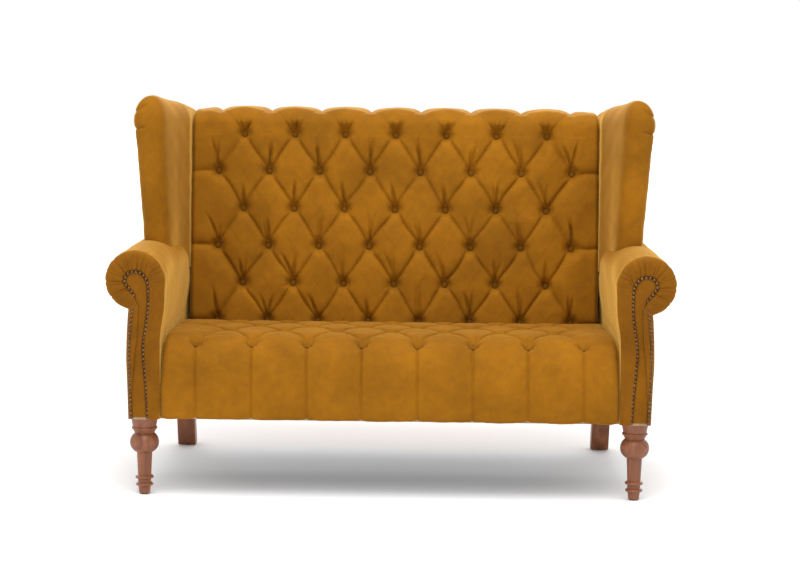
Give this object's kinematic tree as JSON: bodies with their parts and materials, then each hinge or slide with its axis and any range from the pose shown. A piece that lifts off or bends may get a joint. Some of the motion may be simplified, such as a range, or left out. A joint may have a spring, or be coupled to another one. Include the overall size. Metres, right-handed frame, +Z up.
{
  "type": "wing-back sofa",
  "caption": "Compact upholstered sofa with deep-buttoned seat and back, wings, scroll arms edged with domed nails, and turned wooden legs.",
  "frame": {"origin": "on the floor, below the centre of the overall box", "axes": "+X to the sofa's right-hand end as drawn from behind, along its length; +Y to its back, so its front faces -Y; +Z up"},
  "size_m": [1.56, 0.88, 1.088],
  "materials": {
    "velvet": "mustard-ochre velvet with a soft sheen",
    "foam": "open-cell upholstery foam",
    "frame_timber": "raw sawn hardwood",
    "webbing": "woven jute webbing",
    "dust_cloth": "thin non-woven cloth",
    "leg_wood": "satin-varnished, medium reddish brown",
    "antique_brass": "antiqued, domed",
    "zinc_steel": "zinc plated",
    "glide_plastic": "matte"
  },
  "bodies": {
    "root": {"seat_cover": "velvet", "back_cover": "velvet", "outside_back_cover": "velvet", "back_buttons": "velvet", "seat_buttons": "velvet", "inside_arm_cover_left": "velvet", "inside_arm_cover_right": "velvet", "outside_arm_cover_left": "velvet", "outside_arm_cover_right": "velvet", "arm_facing_left": "velvet", "arm_facing_right": "velvet", "wing_cover_left": "velvet", "wing_cover_right": "velvet", "seat_foam": "foam", "seat_front_pad": "foam", "back_foam": "foam", "arm_roll_foam_left": "foam", "arm_roll_foam_right": "foam", "arm_inside_foam_left": "foam", "arm_inside_foam_right": "foam", "wing_foam_left": "foam", "wing_foam_right": "foam", "front_rail": "frame_timber", "rear_rail": "frame_timber", "centre_cross_rail": "frame_timber", "corner_blocks": "frame_timber", "back_top_rail": "frame_timber", "back_stuffing_rail": "frame_timber", "back_stiles": "frame_timber", "side_rail_left": "frame_timber", "side_rail_right": "frame_timber", "arm_front_post_left": "frame_timber", "arm_front_post_right": "frame_timber", "arm_scroll_board_left": "frame_timber", "arm_scroll_board_right": "frame_timber", "arm_top_rail_left": "frame_timber", "arm_top_rail_right": "frame_timber", "arm_stuffing_rail_left": "frame_timber", "arm_stuffing_rail_right": "frame_timber", "back_post_left": "frame_timber", "back_post_right": "frame_timber", "wing_post_left": "frame_timber", "wing_post_right": "frame_timber", "wing_top_rail_left": "frame_timber", "wing_top_rail_right": "frame_timber", "seat_webbing": "webbing", "seat_cross_webbing": "webbing", "back_webbing": "webbing", "dust_cover": "dust_cloth", "front_leg_left": "leg_wood", "front_leg_right": "leg_wood", "rear_leg_left": "leg_wood", "rear_leg_right": "leg_wood", "facing_nails_left": "antique_brass", "facing_nails_right": "antique_brass", "leg_bolts": "zinc_steel", "leg_sockets": "zinc_steel", "leg_glides": "glide_plastic"}
  },
  "joints": []
}
